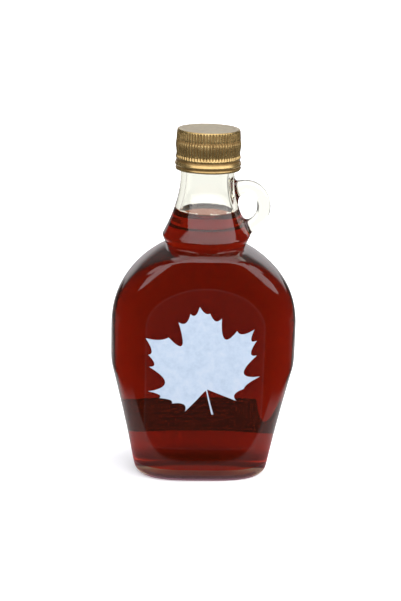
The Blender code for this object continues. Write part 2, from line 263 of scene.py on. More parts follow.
def handle_rings(count, steps):
    rings = []
    for i in range(steps + 1):
        t = i / steps
        a = math.radians(LOOP_FROM + (LOOP_TO - LOOP_FROM) * t)
        c, s = math.cos(a), math.sin(a)
        normal = np.array([c / LOOP_RX, 0.0, s / LOOP_RZ])
        normal /= np.linalg.norm(normal)
        root = loop_root(t)
        deep = LOOP_HALF_DEPTH + 0.25 * LOOP_FLARE * root
        b = 2 * math.pi * (np.arange(count) + 0.5) / count
        half = LOOP_HALF + LOOP_FLARE * root * (np.cos(b) > 0)
        u = half * np.sign(np.cos(b)) * np.abs(np.cos(b)) ** (2 / LOOP_POWER)
        v = deep * np.sign(np.sin(b)) * np.abs(np.sin(b)) ** (2 / LOOP_POWER)
        middle = np.array([LOOP_X + LOOP_RX * c, 0.0, LOOP_Z + LOOP_RZ * s])
        rings.append(middle + u[:, None] * normal + v[:, None] * np.array([0.0, 1.0, 0.0]))
    return rings


# ---- mesh helpers -----------------------------------------------------------------------
def mesh_object(name, points, faces, smooth=True, sharp=None):
    mesh = bpy.data.meshes.new(name)
    mesh.from_pydata((np.asarray(points, float) * MM).tolist(), [], faces)
    mesh.update()
    if smooth:
        mesh.shade_smooth()
        if sharp is not None:
            mesh.set_sharp_from_angle(angle=math.radians(sharp))
    obj = bpy.data.objects.new(name, mesh)
    bpy.context.scene.collection.objects.link(obj)
    return obj


def skin(name, rings, closed=True, sharp=None, flip=False):
    """A skin through rings of equal length, with a middle point at each end if closed."""
    count, n = len(rings[0]), len(rings)
    points = np.concatenate(rings)
    j = np.arange(count)
    k = (j + 1) % count
    faces = []
    for i in range(n - 1):
        a, b = i * count, (i + 1) * count
        faces += np.stack([a + j, a + k, b + k, b + j], axis=1).tolist()
    if closed:
        points = np.concatenate([points, [rings[0].mean(axis=0)], [rings[-1].mean(axis=0)]])
        first, last = n * count, n * count + 1
        faces += [(first, int(q), int(p)) for p, q in zip(j, k)]
        top = (n - 1) * count
        faces += [(last, top + int(p), top + int(q)) for p, q in zip(j, k)]
    if flip:
        faces = [tuple(reversed(f)) for f in faces]
    return mesh_object(name, points, faces, sharp=sharp)


def applied(obj):
    """The object's mesh with its modifiers applied, put back on the object."""
    graph = bpy.context.evaluated_depsgraph_get()
    mesh = bpy.data.meshes.new_from_object(obj.evaluated_get(graph))
    obj.modifiers.clear()
    old = obj.data
    obj.data = mesh
    bpy.data.meshes.remove(old)
    return obj


def boolean(obj, other, operation):
    modifier = obj.modifiers.new(operation.title(), "BOOLEAN")
    modifier.operation = operation
    modifier.solver = "EXACT"
    modifier.object = other


def coordinates(mesh):
    co = np.empty(len(mesh.vertices) * 3, np.float32)
    mesh.vertices.foreach_get("co", co)
    return co.reshape(-1, 3).astype(float) / MM


def set_coordinates(mesh, co):
    mesh.vertices.foreach_set("co", (co * MM).astype(np.float32).ravel())
    mesh.update()


# ---- materials --------------------------------------------------------------------------
def material(name):
    mat = bpy.data.materials.new(name)
    mat.use_nodes = True
    tree = mat.node_tree
    return mat, tree, tree.nodes["Principled BSDF"], tree.nodes["Material Output"]


def put(shader, **values):
    names = {
        "colour": "Base Color", "rough": "Roughness", "metal": "Metallic", "ior": "IOR", "clear": "Transmission Weight",
        "alpha": "Alpha", "shine": "Specular IOR Level", "coat": "Coat Weight", "coat_rough": "Coat Roughness",
        "glow": "Emission Strength",
    }
    for key, value in values.items():
        shader.inputs[names[key]].default_value = (*value, 1.0) if key == "colour" else value


def noise(tree, scale, detail=3.0, rough=0.5, stretch=(1, 1, 1)):
    where = tree.nodes.new("ShaderNodeTexCoord")
    mapping = tree.nodes.new("ShaderNodeMapping")
    mapping.inputs["Scale"].default_value = stretch
    tex = tree.nodes.new("ShaderNodeTexNoise")
    tex.inputs["Scale"].default_value = scale
    tex.inputs["Detail"].default_value = detail
    tex.inputs["Roughness"].default_value = rough
    tree.links.new(where.outputs["Object"], mapping.inputs["Vector"])
    tree.links.new(mapping.outputs["Vector"], tex.inputs["Vector"])
    return tex


def ramp(tree, source, stops):
    node = tree.nodes.new("ShaderNodeValToRGB")
    while len(node.color_ramp.elements) < len(stops):
        node.color_ramp.elements.new(0.5)
    for element, (at, colour) in zip(node.color_ramp.elements, stops):
        element.position = at
        element.color = (*colour, 1.0)
    tree.links.new(source, node.inputs["Fac"])
    return node


def value_range(tree, source, low, high, from_low=0.0, from_high=1.0):
    node = tree.nodes.new("ShaderNodeMapRange")
    for key, value in (("From Min", from_low), ("From Max", from_high), ("To Min", low), ("To Max", high)):
        node.inputs[key].default_value = value
    tree.links.new(source, node.inputs["Value"])
    return node.outputs["Result"]


def bump(tree, shader, height, strength, distance):
    node = tree.nodes.new("ShaderNodeBump")
    node.inputs["Strength"].default_value = strength
    node.inputs["Distance"].default_value = distance
    tree.links.new(height, node.inputs["Height"])
    tree.links.new(node.outputs["Normal"], shader.inputs["Normal"])
    return node


GLASS_TINT = (0.985, 0.992, 0.972)
GLASS_DEPTH = (0.004, 0.006, 0.018)    # absorbed per millimetre of red, green and blue
SYRUP_TINT = (1.0, 0.14, 0.03)
SYRUP_DEPTH = (0.057, 0.108, 0.088)


def glass_material():
    mat, tree, shader, out = material("clear_glass")
    put(shader, colour=GLASS_TINT, rough=0.0, ior=1.5, clear=1.0)
    # moulded glass is very slightly wavy
    waves = noise(tree, 55.0, detail=1.0)
    bump(tree, shader, waves.outputs["Fac"], 0.12, 0.0004)
    # lamps shine through the clear wall
    clear = tree.nodes.new("ShaderNodeBsdfTransparent")
    clear.inputs["Color"].default_value = (*GLASS_TINT, 1.0)
    path = tree.nodes.new("ShaderNodeLightPath")
    mix = tree.nodes.new("ShaderNodeMixShader")
    tree.links.new(path.outputs["Is Shadow Ray"], mix.inputs["Fac"])
    tree.links.new(shader.outputs["BSDF"], mix.inputs[1])
    tree.links.new(clear.outputs["BSDF"], mix.inputs[2])
    tree.links.new(mix.outputs["Shader"], out.inputs["Surface"])
    absorb(tree, out, GLASS_DEPTH)
    return mat


def stippled_material():
    """The underside, whose stippling scatters the light. Its dark mauve colour is painted shade, the syrup-tinted
    dimness under the flask.
    """
    mat, tree, shader, out = material("stippled_glass_painted_shade")
    put(shader, colour=(0.26, 0.17, 0.23), rough=0.5, ior=1.5, clear=0.28)
    dots = tree.nodes.new("ShaderNodeTexVoronoi")
    dots.inputs["Scale"].default_value = 900.0
    where = tree.nodes.new("ShaderNodeTexCoord")
    tree.links.new(where.outputs["Object"], dots.inputs["Vector"])
    bump(tree, shader, dots.outputs["Distance"], 0.5, 0.0003)
    return mat


def wetted_material():
    """The inner wall where syrup wets it. Glass and syrup bend light alike, so this wall can't be seen."""
    mat, tree, shader, out = material("wetted_wall")
    tree.nodes.remove(shader)
    clear = tree.nodes.new("ShaderNodeBsdfTransparent")
    tree.links.new(clear.outputs["BSDF"], out.inputs["Surface"])
    return mat


def absorb(tree, out, depths=SYRUP_DEPTH):
    """Absorption inside a body, in plain numbers."""
    node = tree.nodes.new("ShaderNodeVolumeAbsorption")
    most = max(depths)
    node.inputs["Color"].default_value = (*[1 - s / most for s in depths], 1.0)
    node.inputs["Density"].default_value = most / MM
    tree.links.new(node.outputs["Volume"], out.inputs["Volume"])


def syrup_material():
    mat, tree, shader, out = material("syrup_side")
    put(shader, colour=SYRUP_TINT, rough=0.0, ior=1.0, clear=0.98)
    absorb(tree, out)
    return mat


def syrup_top_material():
    mat, tree, shader, out = material("syrup_top")
    # painted light: the diffuse orange share stands for window light seen glowing through the syrup
    put(shader, colour=(0.50, 0.155, 0.045), rough=0.03, ior=1.06, clear=0.5)
    absorb(tree, out)
    return mat


def syrup_rim_material():
    mat, tree, shader, out = material("syrup_rim_painted_reflection")
    # painted reflection: the near-black colour stands for the dark band that the meniscus mirrors
    put(shader, colour=(0.06, 0.04, 0.025), rough=0.06, ior=1.10, clear=0.4)
    absorb(tree, out)
    return mat


def lacquer(name, tones, metal, rough):
    mat, tree, shader, out = material(name)
    put(shader, metal=metal)
    tone = noise(tree, 260.0, detail=4.0)
    colours = ramp(tree, tone.outputs["Fac"], [(0.3, tones[0]), (0.52, tones[1]), (0.75, tones[2])])
    tree.links.new(colours.outputs["Color"], shader.inputs["Base Color"])
    tree.links.new(value_range(tree, tone.outputs["Fac"], rough - 0.05, rough + 0.07), shader.inputs["Roughness"])
    dents = noise(tree, 900.0, detail=3.0)
    bump(tree, shader, dents.outputs["Fac"], 0.25, 0.00012)
    return mat


def cap_material():
    return lacquer("gold_lacquer", ((0.36, 0.245, 0.095), (0.46, 0.325, 0.13), (0.56, 0.41, 0.18)), 0.78, 0.24)


def groove_shade_material():
    """A darker gold that paints shade between the teeth and into a few dark bands of the cap."""
    return lacquer("gold_groove_painted_shade", ((0.21, 0.125, 0.04), (0.27, 0.165, 0.055), (0.33, 0.21, 0.075)), 0.6, 0.36)


def disc_material():
    """The cap's flat top, whose lacquer is paler and more satin."""
    mat, tree, shader, out = material("pale_lacquer")
    put(shader, metal=1.0)
    tone = noise(tree, 420.0, detail=5.0)
    colours = ramp(tree, tone.outputs["Fac"], [(0.35, (0.60, 0.525, 0.375)), (0.6, (0.71, 0.63, 0.46))])
    tree.links.new(colours.outputs["Color"], shader.inputs["Base Color"])
    tree.links.new(value_range(tree, tone.outputs["Fac"], 0.3, 0.48), shader.inputs["Roughness"])
    brushed = noise(tree, 60.0, detail=2.0, stretch=(1, 26, 1))
    bump(tree, shader, brushed.outputs["Fac"], 0.12, 0.0001)
    return mat


def print_material():
    mat, tree, shader, out = material("pale_print")
    put(shader, rough=0.42, shine=0.35)
    mottle = noise(tree, 330.0, detail=4.0, rough=0.6)
    colours = ramp(tree, mottle.outputs["Fac"], [(0.3, (0.44, 0.55, 0.68)), (0.5, (0.50, 0.61, 0.74)), (0.7, (0.56, 0.65, 0.76))])
    tree.links.new(colours.outputs["Color"], shader.inputs["Base Color"])
    return mat


def film_material():
    mat, tree, shader, out = material("clear_film")
    put(shader, colour=(0.3, 0.3, 0.32), rough=0.3, ior=1.05, alpha=0.004, shine=0.0)
    return mat


def film_edge_material():
    mat, tree, shader, out = material("film_edge")
    put(shader, colour=(0.6, 0.6, 0.65), rough=0.4, alpha=0.015, shine=0.1)
    return mat


def back_label_material():
    """Coated paper: dark print on the outside, with a pale border and plain bars."""
    mat, tree, shader, out = material("back_paper")
    put(shader, rough=0.5, alpha=0.7)
    fibre = noise(tree, 1400.0, detail=5.0)
    where = tree.nodes.new("ShaderNodeTexCoord")
    split = tree.nodes.new("ShaderNodeSeparateXYZ")
    tree.links.new(where.outputs["Object"], split.inputs["Vector"])

    def band(axis, low, high):
        """1 where the coordinate lies between low and high, in millimetres."""
        above = tree.nodes.new("ShaderNodeMath")
        above.operation = "GREATER_THAN"
        tree.links.new(split.outputs[axis], above.inputs[0])
        above.inputs[1].default_value = low * MM
        below = tree.nodes.new("ShaderNodeMath")
        below.operation = "LESS_THAN"
        tree.links.new(split.outputs[axis], below.inputs[0])
        below.inputs[1].default_value = high * MM
        both = tree.nodes.new("ShaderNodeMath")
        both.operation = "MULTIPLY"
        tree.links.new(above.outputs[0], both.inputs[0])
        tree.links.new(below.outputs[0], both.inputs[1])
        return both.outputs[0]

    def join(a, b, operation):
        node = tree.nodes.new("ShaderNodeMath")
        node.operation = operation
        node.use_clamp = True
        tree.links.new(a, node.inputs[0])
        tree.links.new(b, node.inputs[1])
        return node.outputs[0]

    x0, x1, z0, z1 = BACK_LABEL
    bars = None
    for low, right in ((30.2, 17.0), (27.4, 12.0), (24.6, 15.0), (21.8, 6.0)):
        bar = join(band("Z", low, low + 0.9), band("X", -19.0, right), "MULTIPLY")
        bars = bar if bars is None else join(bars, bar, "ADD")
    inside = join(band("X", x0 + 1.3, x1 - 1.3), band("Z", z0 + 1.3, z1 - 1.3), "MULTIPLY")
    line = join(band("X", x0 + 1.8, x1 - 1.8), band("Z", z0 + 1.8, z1 - 1.8), "MULTIPLY")
    frame_line = join(inside, line, "SUBTRACT")
    pale = join(bars, frame_line, "ADD")
    dark = ramp(tree, fibre.outputs["Fac"], [(0.35, (0.06, 0.02, 0.018)), (0.65, (0.085, 0.028, 0.025))])
    mix = tree.nodes.new("ShaderNodeMix")
    mix.data_type = "RGBA"
    tree.links.new(pale, mix.inputs["Factor"])
    tree.links.new(dark.outputs["Color"], mix.inputs["A"])
    mix.inputs["B"].default_value = (0.26, 0.17, 0.13, 1.0)
    tree.links.new(mix.outputs["Result"], shader.inputs["Base Color"])
    bump(tree, shader, fibre.outputs["Fac"], 0.1, 0.00005)
    return mat


def bubble_material():
    mat, tree, shader, out = material("froth")
    put(shader, colour=(1.0, 0.96, 0.88), rough=0.12, ior=1.33, clear=0.15)
    return mat


# ---- glass ------------------------------------------------------------------------------
def handle_distance(p):
    """Roughly how far points lie outside the ring of the handle, in millimetres."""
    x, y, z = p[:, 0], p[:, 1], p[:, 2]
    a = np.arctan2((z - LOOP_Z) / LOOP_RZ, (x - LOOP_X) / LOOP_RX)
    for _ in range(4):      # the nearest point of the centre line
        c, s = np.cos(a), np.sin(a)
        dx, dz = x - LOOP_X - LOOP_RX * c, z - LOOP_Z - LOOP_RZ * s
        tx, tz = -LOOP_RX * s, LOOP_RZ * c
        a = a + (dx * tx + dz * tz) / (tx * tx + tz * tz)
    c, s = np.cos(a), np.sin(a)
    nx, nz = c / LOOP_RX, s / LOOP_RZ
    length = np.hypot(nx, nz)
    u = ((x - LOOP_X - LOOP_RX * c) * nx + (z - LOOP_Z - LOOP_RZ * s) * nz) / length
    turn = (math.radians(LOOP_FROM) - a) % (2 * math.pi)
    t = np.clip(turn / math.radians(LOOP_FROM - LOOP_TO), 0, 1)
    root = np.clip(1 - t / 0.26, 0, None) ** 2 + np.clip(1 - (1 - t) / 0.3, 0, None) ** 2
    half = LOOP_HALF + LOOP_FLARE * root * (u > 0)
    deep = LOOP_HALF_DEPTH + 0.25 * LOOP_FLARE * root
    q = (np.abs(u / half) ** LOOP_POWER + np.abs(y / deep) ** LOOP_POWER) ** (1 / LOOP_POWER)
    return (q - 1) * np.minimum(half, deep)


def neck_distance(p):
    r = np.hypot(p[:, 0], p[:, 1])
    z = p[:, 2]
    slope = (neck_radius(z + 0.05) - neck_radius(z - 0.05)) / 0.1
    return (r - neck_radius(z)) / np.sqrt(1 + slope**2)


def fused_distance(p):
    a, b = neck_distance(p), handle_distance(p)
    h = np.clip(ROOT_BLEND - np.abs(a - b), 0, None) / ROOT_BLEND
    return np.minimum(a, b) - h * h * ROOT_BLEND / 4


def fuse_roots(mesh):
    """Draws the skin around the two roots of the handle into soft fillets."""
    co = coordinates(mesh)
    near = (co[:, 2] > 115.5) & (co[:, 2] < 152) & (co[:, 0] > 5)
    a, b = np.full(len(co), 99.0), np.full(len(co), 99.0)
    a[near], b[near] = neck_distance(co[near]), handle_distance(co[near])
    zone = near & (np.abs(a - b) < ROOT_BLEND * 1.15) & (np.minimum(a, b) > -0.4)
    edges = np.empty(len(mesh.edges) * 2, np.int32)
    mesh.edges.foreach_get("vertices", edges)
    edges = edges.reshape(-1, 2)
    edges = edges[zone[edges[:, 0]] | zone[edges[:, 1]]]
    count = np.zeros(len(co))
    np.add.at(count, edges[:, 0], 1)
    np.add.at(count, edges[:, 1], 1)
    for step in range(24):
        if step < 20:
            total = np.zeros_like(co)
            np.add.at(total, edges[:, 0], co[edges[:, 1]])
            np.add.at(total, edges[:, 1], co[edges[:, 0]])
            co[zone] += 0.5 * (total[zone] / count[zone, None] - co[zone])
        p = co[zone]
        f = fused_distance(p)
        grad = np.stack(
            [(fused_distance(p + d) - fused_distance(p - d)) / 0.04 for d in np.eye(3) * 0.02], axis=1
        )
        move = f[:, None] * grad / np.clip((grad**2).sum(axis=1), 0.2, None)[:, None]
        co[zone] = p - np.clip(move, -0.6, 0.6)
    set_coordinates(mesh, co)


def make_glass():
    glass = skin("glass_bottle_skin", outer_rings())
    loop = skin("loop_shape", handle_rings(56, 150))
    hollow = hollow_rings()
    hollow.append(ring(BORE_R, BORE_R, (2.0, 2.0), LIP_Z + 2.0))
    cavity = skin("hollow_shape", hollow)
    for obj in (glass, loop, cavity):
        outward(obj)
    boolean(glass, loop, "UNION")
    applied(glass)
    fuse_roots(glass.data)
    boolean(glass, cavity, "DIFFERENCE")
    applied(glass)
    for obj in (loop, cavity):
        bpy.data.objects.remove(obj, do_unlink=True)
    mesh = glass.data
    mesh.materials.clear()
    mesh.materials.append(MATS["glass"])
    mesh.materials.append(MATS["wetted"])
    mesh.materials.append(MATS["stippled"])
    # the inner wall up to the meniscus is wetted
    middle = np.empty(len(mesh.polygons) * 3, np.float32)
    mesh.polygons.foreach_get("center", middle)
    middle = middle.reshape(-1, 3) / MM
    index = np.zeros(len(middle), np.int32)
    for i, (x, y, z) in enumerate(middle):
        if z < PUSH_UP + 0.55 and abs(x) < BASE_HALF_WIDTH - HEEL_R + 0.5:
            index[i] = 2
        if FLOOR - 0.1 < z < SYRUP_Z + MENISCUS:
            hx, hy, (p, q) = bore_size(max(float(z), FLOOR + 3.0), -0.6)
            if (abs(x) / hx) ** p + (abs(y) / hy) ** q < 1.0:
                index[i] = 1
    mesh.polygons.foreach_set("material_index", index)
    mesh.shade_smooth()
    mesh.set_sharp_from_angle(angle=math.radians(60))
    finish_piece(glass, "glass_bottle")
    return glass


def outward(obj):
    """Turns the faces outwards if the mesh's volume comes out negative."""
    mesh = obj.data
    co = coordinates(mesh)
    total = 0.0
    for poly in mesh.polygons:
        v = [co[i] for i in poly.vertices]
        for i in range(1, len(v) - 1):
            total += float(np.dot(v[0], np.cross(v[i], v[i + 1])))
    if total < 0:
        mesh.flip_normals()


def finish_piece(obj, node):
    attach(obj, "root")
    if node:
        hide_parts(node)


# ---- syrup ------------------------------------------------------------------------------
def make_syrup():
    top = SYRUP_Z + MENISCUS
    rings = hollow_rings(clear=-INTO_WALL, top=top)
    sides = len(rings)
    r = float(bore_radius(top)) + INTO_WALL
    for i in range(1, 26):
        # from the wall inwards: the surface falls from the meniscus to the level
        s = (i / 25) ** 1.6
        away = s * (r - 0.6)
        z = SYRUP_Z + MENISCUS * math.exp(-away / MENISCUS_RUN)
        rings.append(ring(r - away, r - away, (2.0, 2.0), z))
    syrup = skin("syrup_body", rings)
    outward(syrup)
    mesh = syrup.data
    mesh.materials.append(MATS["syrup"])
    mesh.materials.append(MATS["syrup_top"])
    mesh.materials.append(MATS["syrup_rim_painted_reflection"])
    count = len(rings[0])
    index = np.zeros(len(mesh.polygons), np.int32)
    index[(sides - 1) * count : (len(rings) - 1) * count] = 1
    index[-count:] = 1
    for i in range(1, 26):
        if (i / 25) ** 1.6 * (r - 0.6) < RIM_WIDTH:
            index[(sides + i - 2) * count : (sides + i - 1) * count] = 2
    # towards the back a wider band carries the painted dark reflection of the wall
    first = (sides - 1) * count
    for i in range(first, (len(rings) - 1) * count):
        x, y, z = mesh.polygons[i].center / MM
        if math.hypot(x, y + BACK_BAND) > r - 1.0 and z > SYRUP_Z - 0.1:
            index[i] = 2
    mesh.polygons.foreach_set("material_index", index)
    mesh.set_sharp_from_angle(angle=math.radians(50))
    finish_piece(syrup, "syrup")
    return syrup


def make_froth():
    """Small bubbles that cling to the edge of the surface, in a few clusters."""
    rng = random.Random(7)
    points, faces = [], []
    clusters = [(-150, 10), (-138, 9), (-118, 8), (-74, 9), (-42, 10), (-25, 10), (-12, 6), (60, 3), (120, 4), (170, 4)]
    for centre, number in clusters:
        for _ in range(number):
            a = math.radians(centre + rng.gauss(0, 4.5))
            size = rng.uniform(0.2, 0.42)
            away = size + 0.03
            z = SYRUP_Z + MENISCUS + rng.uniform(-0.5, 0.9) * size
            r = float(bore_radius(z)) - away
            middle = np.array([r * math.cos(a), r * math.sin(a), z])
            base = len(points)
            rows, cols = 8, 12
            for i in range(rows + 1):
                lat = math.pi * i / rows - math.pi / 2
                for j in range(cols):
                    lon = 2 * math.pi * j / cols
                    points.append(middle + size * np.array([math.cos(lat) * math.cos(lon), math.cos(lat) * math.sin(lon), math.sin(lat)]))
            for i in range(rows):
                for j in range(cols):
                    p, q = base + i * cols + j, base + i * cols + (j + 1) % cols
                    if i == 0:
                        faces.append((base, q + cols, p + cols) if j else (base, q + cols, p + cols))
                    elif i == rows - 1:
                        faces.append((p, q, base + rows * cols))
                    else:
                        faces.append((p, q, q + cols, p + cols))
    froth = mesh_object("froth", points, faces)
    froth.data.materials.append(MATS["froth"])
    finish_piece(froth, None)


# ---- cap --------------------------------------------------------------------------------
def smooth_step(a, b, x):
    t = min(max((x - a) / (b - a), 0.0), 1.0)
    return t * t * (3 - 2 * t)


def cap_radius(z):
    """Radius over the tooth tips at height z on the outside of the cap."""
    stations = (
        (151.0, 15.28), (151.35, 15.42), (151.9, 15.42), (152.15, 15.22), (152.7, 15.2), (153.0, 15.34),
        (153.3, 15.6), (153.55, 15.7), (154.3, 15.44), (155.0, 15.14), (155.25, 15.02), (156.0, 15.02), (156.35, 15.3), (156.6, 15.4),
        (158.1, 14.98), (158.7, 14.98), (160.6, 15.2), (161.4, 15.36), (162.4, 15.4), (163.4, 15.34), (164.1, 15.24),
        (164.6, 15.12), (165.0, 15.08), (165.4, 15.1), (166.0, 15.1), (168.6, 14.9), (169.1, 14.84),
    )
    zs, rs = zip(*stations)
    return float(np.interp(z, zs, rs))


def knurl_depth(z):
    """How deep the grooves between the teeth are at height z: none on the beads at the foot."""
    depth = smooth_step(156.55, 157.7, z) * (1 - 0.75 * smooth_step(168.9, 169.35, z))
    depth *= 1 - 0.3 * math.exp(-(((z - 164.7) / 0.35) ** 2))
    return depth


def make_cap():
    per_tooth = 10
    count = TEETH * per_tooth
    a = 2 * math.pi * np.arange(count) / count
    phase = (np.arange(count) % per_tooth) / per_tooth
    groove = (0.5 + 0.5 * np.cos(2 * math.pi * phase)) ** 1.5       # 1 in the groove, 0 on the tooth
    rng = random.Random(11)
    uneven = np.array([rng.uniform(0.82, 1.12) for _ in range(TEETH)])
    uneven = np.repeat(uneven, per_tooth)
    wobble = 0.05 * np.sin(3 * a + 0.6) + 0.035 * np.sin(7 * a + 2.0)
    rings = []

    def add(r, z, deep=0.0, waver=0.0, lift=0.0, zig=0.0):
        if zig:
            r = np.array([cap_radius(z + zig * g) for g in groove])
        radius = r - TOOTH * 1.15 * deep * groove * uneven + waver * wobble
        height = np.full(count, float(z)) + lift * wobble
        rings.append(np.stack([radius * np.cos(a), radius * np.sin(a), height], axis=1))

    # the flat top from its middle outwards, with a shallow pressed step
    for r in (0.8, 3.0, 6.0, 9.0, 11.2):
        add(r, 169.72 + 0.02 * math.cos(r))
    for i in range(6):
        add(11.6 + 0.16 * i, 169.72 + 0.13 * smooth_step(0, 5, i))
    for r in (12.8, 13.5, 14.0):
        add(r, 169.87)
    disc = len(rings)
    for i in range(1, 9):
        b = math.radians(90 * i / 8)
        add(14.15 + 0.6 * math.sin(b), 169.35 + 0.54 * math.cos(b), 0.05 * i / 8)
    steps = 74
    for i in range(steps):
        z = 169.1 + (151.05 - 169.1) * i / (steps - 1)
        low = 1 - smooth_step(152.6, 153.6, z)
        zig = 0.75 * smooth_step(156.2, 157.0, z) * (1 - smooth_step(158.4, 158.9, z))
        add(cap_radius(z), z, knurl_depth(z), waver=0.4 + 2.0 * low, lift=0.8 * low, zig=zig)
    add(15.2, 150.98, lift=0.8)
    inside = BEAD_R + 0.25
    for r, z in ((inside + 0.35, 151.0), (inside, 151.15), (inside, 158.0), (inside, 168.6), (inside - 0.6, 169.0), (8.0, 169.02), (1.0, 169.02)):
        add(r, z)
    cap = skin("screw_cap", rings, sharp=70)
    outward(cap)
    mesh = cap.data
    mesh.materials.append(MATS["cap"])
    mesh.materials.append(MATS["disc"])
    mesh.materials.append(MATS["groove"])
    index = np.zeros(len(mesh.polygons), np.int32)
    index[: (disc - 1) * count] = 1
    # painted shade: faces between the teeth, and three bands near the foot and the middle, get the darker gold
    groove_faces_painted_dark = 0.5 * (groove + np.roll(groove, -1)) > 0.45
    for i in range(disc + 8, disc + 8 + steps - 1):
        z = rings[i][0][2]
        if z > 157.2:
            index[i * count : (i + 1) * count][groove_faces_painted_dark] = 2
        if 164.3 < z < 165.3 or 155.0 < z < 156.4 or 152.2 < z < 153.2:
            index[i * count : (i + 1) * count] = 2
    index[(len(rings) - 1) * count : len(rings) * count] = 1
    mesh.polygons.foreach_set("material_index", index)
    finish_piece(cap, "cap")


# ---- labels -----------------------------------------------------------------------------
def surface_depth(x, z):
    """How far the face lies from the middle plane, at x and z, for arrays."""
    half_x, half_y, (p, q) = body_half_width(z), body_half_depth(z), plan_powers(z)
    return half_y * np.clip(1 - np.abs(x / half_x) ** p, 0, None) ** (1 / q)


def lifted(x, z, side, lift):
    """Points that stand lift proud of the face at x, z. side is -1 for the front and 1 for the back."""
    step = 0.05
    y = surface_depth(x, z)
    nx = -(surface_depth(x + step, z) - surface_depth(x - step, z)) / (2 * step)
    nz = -(surface_depth(x, z + step) - surface_depth(x, z - step)) / (2 * step)
    length = np.sqrt(1 + nx * nx + nz * nz)
    return np.stack([x + lift * nx / length, side * (y + lift / length), z + lift * nz / length], axis=-1)


def shell(name, x, z, side, low, high):
    """A closed thin shell over a grid of x and z, between the two lifts."""
    rows, cols = x.shape
    inner, outer = lifted(x, z, side, low).reshape(-1, 3), lifted(x, z, side, high).reshape(-1, 3)
    n = rows * cols
    faces = []
    for j in range(rows - 1):
        for i in range(cols - 1):
            a = j * cols + i
            faces.append((a, a + 1, a + cols + 1, a + cols))
            faces.append((n + a + cols, n + a + cols + 1, n + a + 1, n + a))
    rim = [i for i in range(cols)] + [j * cols + cols - 1 for j in range(1, rows)]
    rim += [(rows - 1) * cols + i for i in range(cols - 2, -1, -1)] + [j * cols for j in range(rows - 2, 0, -1)]
    for a, b in zip(rim, rim[1:] + rim[:1]):
        faces.append((b, a, n + a, n + b))
    obj = mesh_object(name, np.concatenate([inner, outer]), faces, sharp=40)
    outward(obj)
    return obj


def film_side(z):
    """Half width of the clear film at height z."""
    foot, head = FRONT_LABEL_Z
    arch_from = head - FRONT_LABEL_ARCH
    side = np.minimum(FRONT_LABEL_HALF, body_half_width(z) - 9.5)
    t = np.clip((z - arch_from) / (head - arch_from), 0.0, 1.0)
    return side * np.sqrt(np.clip(1 - t * t, 0, None))


def make_film():
    foot, head = FRONT_LABEL_Z
    rows, cols = 90, 60
    t = np.sin(0.5 * math.pi * np.linspace(0, 1, rows))
    z = foot + (head - foot) * np.minimum(t, 0.99999)
    x = np.linspace(-1, 1, cols)[None, :] * film_side(z)[:, None]
    film = shell("film_face", x, np.repeat(z[:, None], cols, 1), -1, 0.03, 0.08)
    film.data.materials.append(MATS["film"])
    finish_piece(film, "front_label")
    # its cut edge, which catches a little light
    edge, wide = [], 0.28
    for s in (-1, 1):
        side = np.stack([s * film_side(z), z], axis=1)
        edge.append(side if s < 0 else side[::-1])
    path = np.concatenate([edge[0], edge[1]])
    foot_x = np.linspace(path[-1][0], path[0][0], 40)[1:-1]
    path = np.concatenate([path, np.stack([foot_x, np.full(38, foot)], axis=1)])
    ahead = np.roll(path, -1, 0) - np.roll(path, 1, 0)
    ahead /= np.linalg.norm(ahead, axis=1)[:, None]
    inwards = np.stack([ahead[:, 1], -ahead[:, 0]], axis=1)
    n = len(path)
    outer, inner = path, path + inwards * wide
    strips = [lifted(outer[:, 0], outer[:, 1], -1, 0.09), lifted(inner[:, 0], inner[:, 1], -1, 0.09), lifted(inner[:, 0], inner[:, 1], -1, 0.13), lifted(outer[:, 0], outer[:, 1], -1, 0.13)]
    faces = []
    for i in range(n):
        k = (i + 1) % n
        for a in range(4):
            b = (a + 1) % 4
            faces.append((a * n + i, a * n + k, b * n + k, b * n + i))
    rim = mesh_object("film_rim", np.concatenate(strips), faces)
    outward(rim)
    rim.data.materials.append(MATS["film_edge"])
    finish_piece(rim, None)


# The leaf: its teeth counterclockwise from the right of the stem, each a direction in degrees and a
# reach from the stem's joint, and how far the edge dips before the next one. Deep dips are the bays.
LEAF_AT = (1.2, 49.0)
TEETH_OF_LEAF = (
    (-22.0, 15.4, 0.66), (1.0, 17.8, 0.80), (14.0, 26.0, 0.42),
    (36.0, 28.8, 0.76), (46.5, 33.4, 0.82), (54.0, 36.9, 0.86), (65.0, 32.2, 0.56),
    (80.0, 35.8, 0.86), (89.0, 37.6, 0.92), (96.0, 41.0, 0.88), (103.0, 38.2, 0.86), (113.0, 36.0, 0.48),
    (126.0, 31.6, 0.91), (140.0, 38.2, 0.84), (149.5, 32.4, 0.80), (159.0, 29.4, 0.42),
    (184.0, 27.8, 0.80), (192.5, 23.0, 0.78), (204.5, 18.0, 0.62), (228.5, 15.2, 0.0),
)


def spot(angle, reach):
    a = math.radians(angle)
    return np.array([reach * math.cos(a), reach * math.sin(a)])


def leaf_outline(steps=10):
    """The leaf's outline in x and z, counterclockwise from the right of the stem."""
    t = np.linspace(0, 1, steps, endpoint=False)[:, None]
    joint = np.array([0.35, -0.1])
    points = []
    for (a, r, dip), (b, q, _) in zip(TEETH_OF_LEAF, TEETH_OF_LEAF[1:]):
        low = spot((a + b) / 2, dip * (r + q) / 2)
        points.append(spot(a, r) * (1 - t) ** 2 + 2 * low * t * (1 - t) + spot(b, q) * t**2)
    first, last = spot(*TEETH_OF_LEAF[0][:2]), spot(*TEETH_OF_LEAF[-1][:2])
    left = joint - (0.9, 0.4)
    points.append(last + (left - last) * t + np.array([0.5, -0.5]) * t * (1 - t))
    points.append(joint + (first - joint) * t)
    points = np.concatenate(points)
    return points[:, 0] + LEAF_AT[0], points[:, 1] + LEAF_AT[1]


